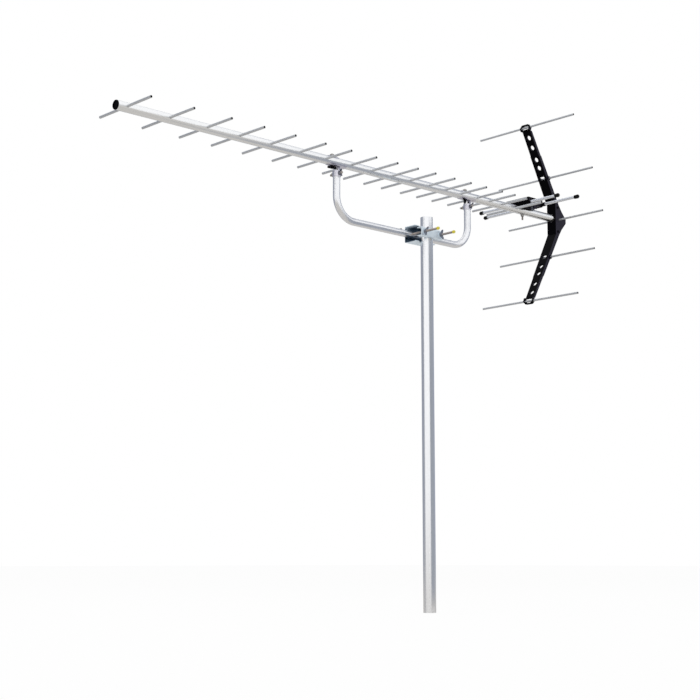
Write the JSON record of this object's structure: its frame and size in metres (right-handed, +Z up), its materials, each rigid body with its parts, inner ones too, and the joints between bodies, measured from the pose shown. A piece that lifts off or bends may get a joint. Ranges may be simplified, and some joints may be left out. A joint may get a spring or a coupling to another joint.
{
  "type": "uhf antenna",
  "caption": "Long-boom television antenna with rod directors, ball-tipped radiators, a V reflector, and a bent stay clamped to a mast.",
  "frame": {"origin": "centre of the mast's foot", "axes": "+Z up the mast, -Y towards the transmitter, +X to the side of the stay that the mast is on"},
  "size_m": [0.3452, 1.529, 1.351],
  "materials": {
    "mast_metal": "galvanised tube, satin",
    "stay_metal": "bright drawn tube",
    "boom_metal": "bright anodised tube",
    "rod_metal": "satin drawn tube",
    "radiator_metal": "satin drawn tube",
    "black_plastic": "moulded, semi-matt",
    "black_cap": "smooth",
    "board": "laminate",
    "ferrite": "sintered",
    "contact_brass": "bright",
    "plated_steel": "zinc plated",
    "white_plastic": "moulded",
    "bracket_metal": "zinc plated sheet",
    "galvanised_steel": "galvanised, bluish",
    "yellow_tip": "soft cap"
  },
  "bodies": {
    "root": {"balun_core": "ferrite", "bar_grips": "black_plastic", "bolt_tips": "yellow_tip", "boom_bolts": "plated_steel", "boom_end_plug": "black_plastic", "boom_saddles": "bracket_metal", "boom_tube": "boom_metal", "bracket_front": "bracket_metal", "bracket_rear": "bracket_metal", "clamp_bolts": "galvanised_steel", "clamp_washers": "galvanised_steel", "coax_insulator": "white_plastic", "coax_outlet": "plated_steel", "cross_bolts": "plated_steel", "director_01": "rod_metal", "director_02": "rod_metal", "director_03": "rod_metal", "director_04": "rod_metal", "director_05": "rod_metal", "director_06": "rod_metal", "director_07": "rod_metal", "director_08": "rod_metal", "director_09": "rod_metal", "director_10": "rod_metal", "director_11": "rod_metal", "director_12": "rod_metal", "director_13": "rod_metal", "director_14": "rod_metal", "director_15": "rod_metal", "director_16": "rod_metal", "director_17": "rod_metal", "director_18": "rod_metal", "feed_bolt": "plated_steel", "feed_box_base": "black_plastic", "feed_box_lid": "black_plastic", "feed_nut": "plated_steel", "feed_terminals": "contact_brass", "hex_nuts": "plated_steel", "mast_bracket": "galvanised_steel", "mast_jaw": "galvanised_steel", "mast_tube": "mast_metal", "matching_board": "board", "radiator_caps": "black_cap", "radiator_front_left": "radiator_metal", "radiator_front_right": "radiator_metal", "radiator_rear_left": "radiator_metal", "radiator_rear_right": "radiator_metal", "reflector_arm_lower": "black_plastic", "reflector_arm_upper": "black_plastic", "reflector_hub": "black_plastic", "reflector_rivets": "black_plastic", "reflector_rod_1": "rod_metal", "reflector_rod_2": "rod_metal", "reflector_rod_3": "rod_metal", "reflector_rod_4": "rod_metal", "reflector_rod_5": "rod_metal", "stay_stop_screw": "plated_steel", "stay_tube": "stay_metal", "terminal_screws": "plated_steel", "wing_nuts": "galvanised_steel"}
  },
  "joints": []
}
